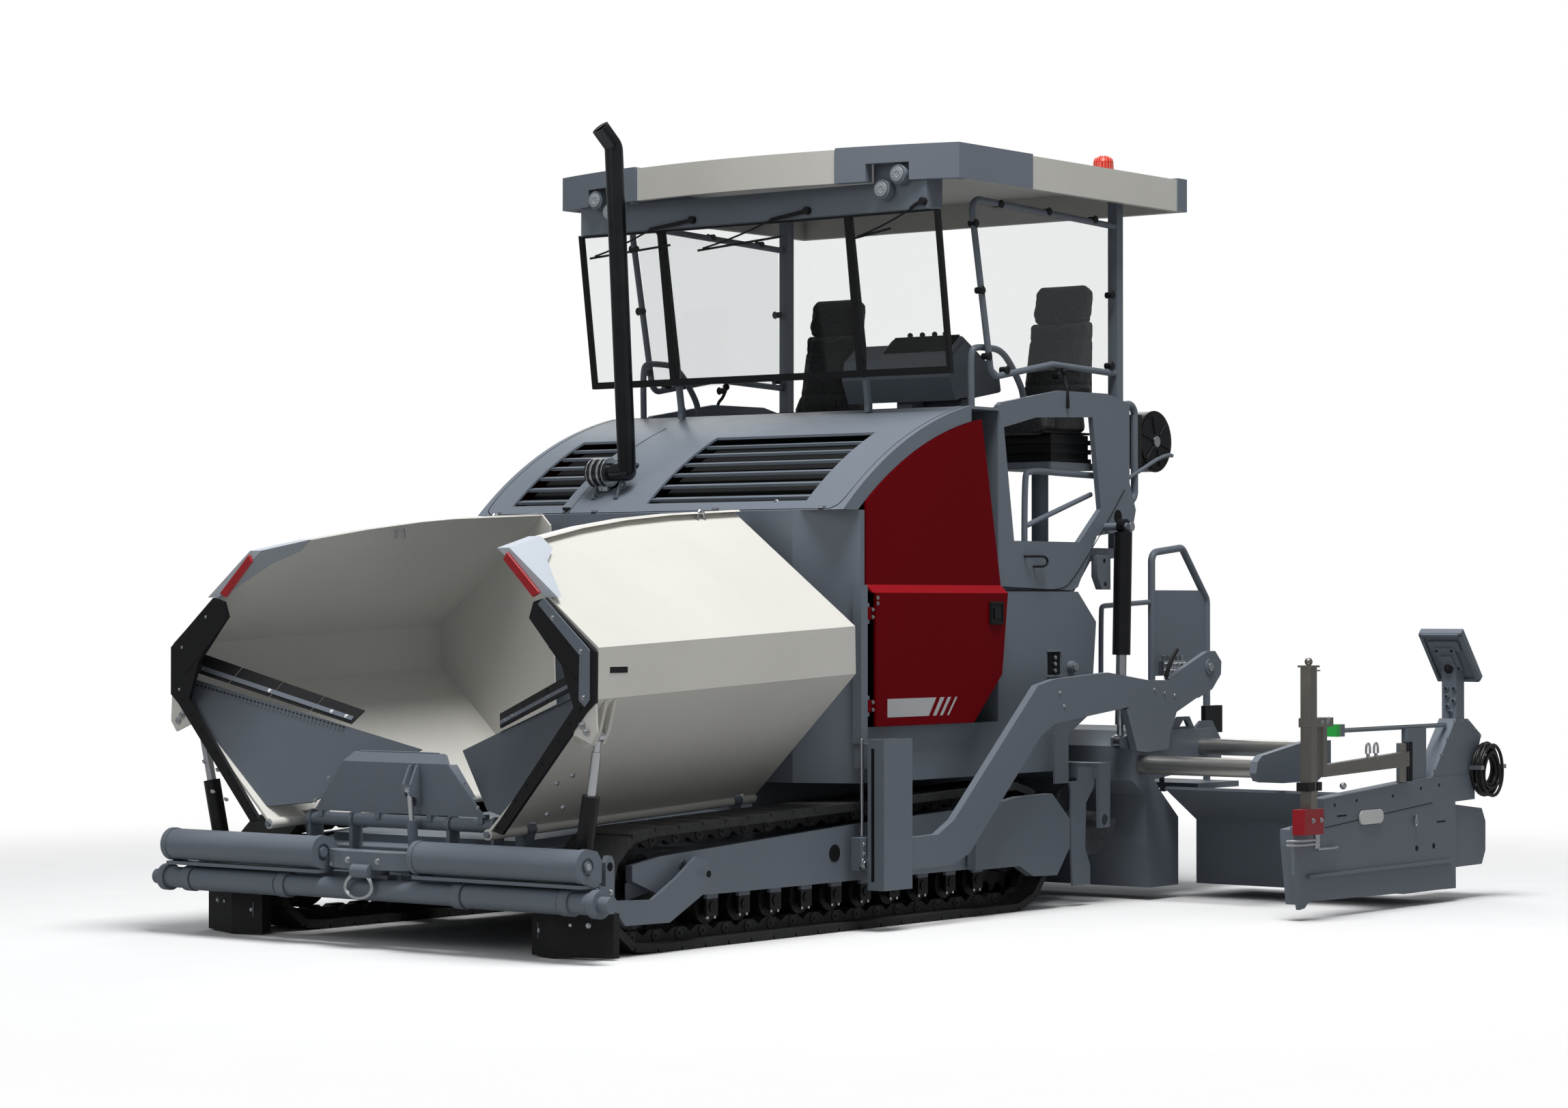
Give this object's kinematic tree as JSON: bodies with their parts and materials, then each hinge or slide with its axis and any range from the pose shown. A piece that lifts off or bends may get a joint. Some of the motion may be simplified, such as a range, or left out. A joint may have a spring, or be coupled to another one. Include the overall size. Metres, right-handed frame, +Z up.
{
  "type": "asphalt paver",
  "caption": "Tracked asphalt paver with folding hopper wings, push rollers, operator's platform under a roof, and an extending screed.",
  "frame": {"origin": "on the ground, at the middle of the machine's length and width", "axes": "+X forwards to the hopper, +Y to the machine's left, +Z up"},
  "size_m": [6.031, 5.4506, 4.021],
  "materials": {
    "grey_paint": "satin",
    "pale_paint": "satin",
    "red_paint": "gloss",
    "black_rubber": "matte",
    "track_steel": "rough",
    "dark_steel": "rough",
    "roller_steel": "brushed",
    "bright_steel": "polished",
    "clear_glass": "clear",
    "black_plastic": "matte",
    "seat_fabric": "woven",
    "lamp_plastic": "clear"
  },
  "bodies": {
    "tractor": {"hull": "grey_paint", "deflectors": "black_rubber", "track_left": "track_steel", "track_right": "track_steel", "track_frames": "grey_paint", "track_wheels": "dark_steel", "hinge_pins": "dark_steel", "hopper_floor": "dark_steel", "bulkhead": "grey_paint", "hood": "grey_paint", "engine": "dark_steel", "exhaust": "bright_steel", "rear_body": "grey_paint", "platform": "grey_paint", "side_guards": "grey_paint", "roof": "pale_paint", "canopy_frame": "grey_paint", "glass": "clear_glass", "roof_lamps": "lamp_plastic", "seat_pads": "seat_fabric", "seat_bases": "black_plastic", "hose_reel": "black_plastic", "tow_guides": "grey_paint", "auger_frame": "grey_paint"},
    "push_beam": {"push_beam": "grey_paint"},
    "apron": {"apron": "grey_paint"},
    "apron_barrel": {"apron_barrel": "black_plastic"},
    "apron_rod": {"apron_rod": "bright_steel"},
    "screed": {"tow_arms": "grey_paint", "screed_body": "grey_paint", "screed_walkway": "grey_paint"},
    "push_roller_left": {"push_roller_left": "roller_steel"},
    "wing_left": {"wing_left": "pale_paint", "wing_rubber_left": "black_rubber"},
    "wing_barrel_left": {"wing_barrel_left": "grey_paint"},
    "wing_rod_left": {"wing_rod_left": "bright_steel"},
    "door_left": {"door_left": "red_paint"},
    "auger_left": {"auger_left": "dark_steel"},
    "lift_barrel_left": {"lift_barrel_left": "black_plastic"},
    "lift_rod_left": {"lift_rod_left": "bright_steel"},
    "extension_left": {"extension_left": "grey_paint", "extension_tubes_left": "bright_steel", "control_panel_left": "grey_paint", "sensor_mast_left": "grey_paint", "hose_coil_left": "black_rubber"},
    "push_roller_right": {"push_roller_right": "roller_steel"},
    "wing_right": {"wing_right": "pale_paint", "wing_rubber_right": "black_rubber"},
    "wing_barrel_right": {"wing_barrel_right": "grey_paint"},
    "wing_rod_right": {"wing_rod_right": "bright_steel"},
    "door_right": {"door_right": "red_paint"},
    "auger_right": {"auger_right": "dark_steel"},
    "lift_barrel_right": {"lift_barrel_right": "black_plastic"},
    "lift_rod_right": {"lift_rod_right": "bright_steel"},
    "extension_right": {"extension_right": "grey_paint", "extension_tubes_right": "bright_steel", "control_panel_right": "grey_paint", "sensor_mast_right": "grey_paint", "hose_coil_right": "black_rubber"}
  },
  "joints": [
    {"name": "push_beam_swing", "type": "hinge", "parent": "tractor", "child": "push_beam", "pos_m": [2.8785, 0, 0.34], "axis": [0, 0, 1], "range_deg": [-2, 2]},
    {"name": "push_roller_left_spin", "type": "hinge", "parent": "push_beam", "child": "push_roller_left", "pos_m": [2.9335, 0.81, 0.424], "axis": [0, 1, 0], "continuous": true},
    {"name": "wing_left_fold", "type": "hinge", "parent": "tractor", "child": "wing_left", "pos_m": [2.8985, 0.697, 0.54], "axis": [0.999, 0, -0.0454], "range_deg": [-22, 8]},
    {"name": "wing_barrel_left_pivot", "type": "hinge", "parent": "tractor", "child": "wing_barrel_left", "pos_m": [2.76628, 1.14, 0.38384], "axis": [0.999, 0, -0.0454], "range_deg": [-22.01, 8.01]},
    {"name": "wing_rod_left_stroke", "type": "slide", "parent": "wing_barrel_left", "child": "wing_rod_left", "axis": [0.0445, 0.1955, 0.9797], "range_m": [-0.17943, 0.06557]},
    {"name": "door_left_swing", "type": "hinge", "parent": "tractor", "child": "door_left", "pos_m": [0.7615, 1.222, 1.3], "axis": [0, 0, 1], "range_deg": [-90, 0]},
    {"name": "auger_left_spin", "type": "hinge", "parent": "tractor", "child": "auger_left", "pos_m": [-1.2365, 0.66, 0.44], "axis": [0, 1, 0], "continuous": true},
    {"name": "push_roller_right_spin", "type": "hinge", "parent": "push_beam", "child": "push_roller_right", "pos_m": [2.9335, -0.81, 0.424], "axis": [0, 1, 0], "continuous": true},
    {"name": "wing_right_fold", "type": "hinge", "parent": "tractor", "child": "wing_right", "pos_m": [2.8985, -0.697, 0.54], "axis": [0.999, 0, -0.0454], "range_deg": [-8, 22]},
    {"name": "wing_barrel_right_pivot", "type": "hinge", "parent": "tractor", "child": "wing_barrel_right", "pos_m": [2.76628, -1.14, 0.38384], "axis": [0.999, 0, -0.0454], "range_deg": [-8.01, 22.01]},
    {"name": "wing_rod_right_stroke", "type": "slide", "parent": "wing_barrel_right", "child": "wing_rod_right", "axis": [0.0445, -0.1955, 0.9797], "range_m": [-0.17943, 0.06557]},
    {"name": "door_right_swing", "type": "hinge", "parent": "tractor", "child": "door_right", "pos_m": [0.7615, -1.222, 1.3], "axis": [0, 0, 1], "range_deg": [0, 90]},
    {"name": "auger_right_spin", "type": "hinge", "parent": "tractor", "child": "auger_right", "pos_m": [-1.2365, -0.66, 0.44], "axis": [0, 1, 0], "continuous": true},
    {"name": "apron_fold", "type": "hinge", "parent": "tractor", "child": "apron", "pos_m": [2.7135, 0, 0.565], "axis": [0, 1, 0], "range_deg": [0, 30]},
    {"name": "apron_barrel_pivot", "type": "hinge", "parent": "tractor", "child": "apron_barrel", "pos_m": [2.7735, 0.13, 0.372], "axis": [0, 1, 0], "range_deg": [-0.01, 13.9]},
    {"name": "apron_rod_stroke", "type": "slide", "parent": "apron_barrel", "child": "apron_rod", "axis": [0.1001, 0, 0.995], "range_m": [-0.05354, 0.0005]},
    {"name": "screed_lift", "type": "hinge", "parent": "tractor", "child": "screed", "pos_m": [0.7535, 0, 0.36], "axis": [0, 1, 0], "range_deg": [-0.8, 5.5]},
    {"name": "lift_barrel_left_pivot", "type": "hinge", "parent": "tractor", "child": "lift_barrel_left", "pos_m": [-1.4215, 1.29, 1.985], "axis": [0, 1, 0], "range_deg": [-3.64, 0.54]},
    {"name": "lift_rod_left_stroke", "type": "slide", "parent": "lift_barrel_left", "child": "lift_rod_left", "axis": [0.0307, 0, -0.9995], "range_m": [-0.20065, 0.02961]},
    {"name": "extension_left_slide", "type": "slide", "parent": "screed", "child": "extension_left", "axis": [0, 1, 0], "range_m": [-0.62, 0.1]},
    {"name": "lift_barrel_right_pivot", "type": "hinge", "parent": "tractor", "child": "lift_barrel_right", "pos_m": [-1.4215, -1.29, 1.985], "axis": [0, 1, 0], "range_deg": [-3.64, 0.54]},
    {"name": "lift_rod_right_stroke", "type": "slide", "parent": "lift_barrel_right", "child": "lift_rod_right", "axis": [0.0307, 0, -0.9995], "range_m": [-0.20065, 0.02961]},
    {"name": "extension_right_slide", "type": "slide", "parent": "screed", "child": "extension_right", "axis": [0, -1, 0], "range_m": [-0.62, 0.1]}
  ],
  "couplings": [
    {"joint": "wing_barrel_left_pivot", "follows": "wing_left_fold", "ratio": 1},
    {"joint": "wing_rod_left_stroke", "follows": "wing_left_fold", "m_per_rad": 0.466},
    {"joint": "wing_barrel_right_pivot", "follows": "wing_right_fold", "ratio": 1},
    {"joint": "wing_rod_right_stroke", "follows": "wing_right_fold", "m_per_rad": -0.466},
    {"joint": "apron_barrel_pivot", "follows": "apron_fold", "ratio": 0.463},
    {"joint": "apron_rod_stroke", "follows": "apron_fold", "m_per_rad": -0.1013},
    {"joint": "lift_barrel_left_pivot", "follows": "screed_lift", "ratio": -0.66},
    {"joint": "lift_rod_left_stroke", "follows": "screed_lift", "m_per_rad": -2.085},
    {"joint": "lift_barrel_right_pivot", "follows": "screed_lift", "ratio": -0.66},
    {"joint": "lift_rod_right_stroke", "follows": "screed_lift", "m_per_rad": -2.085}
  ]
}
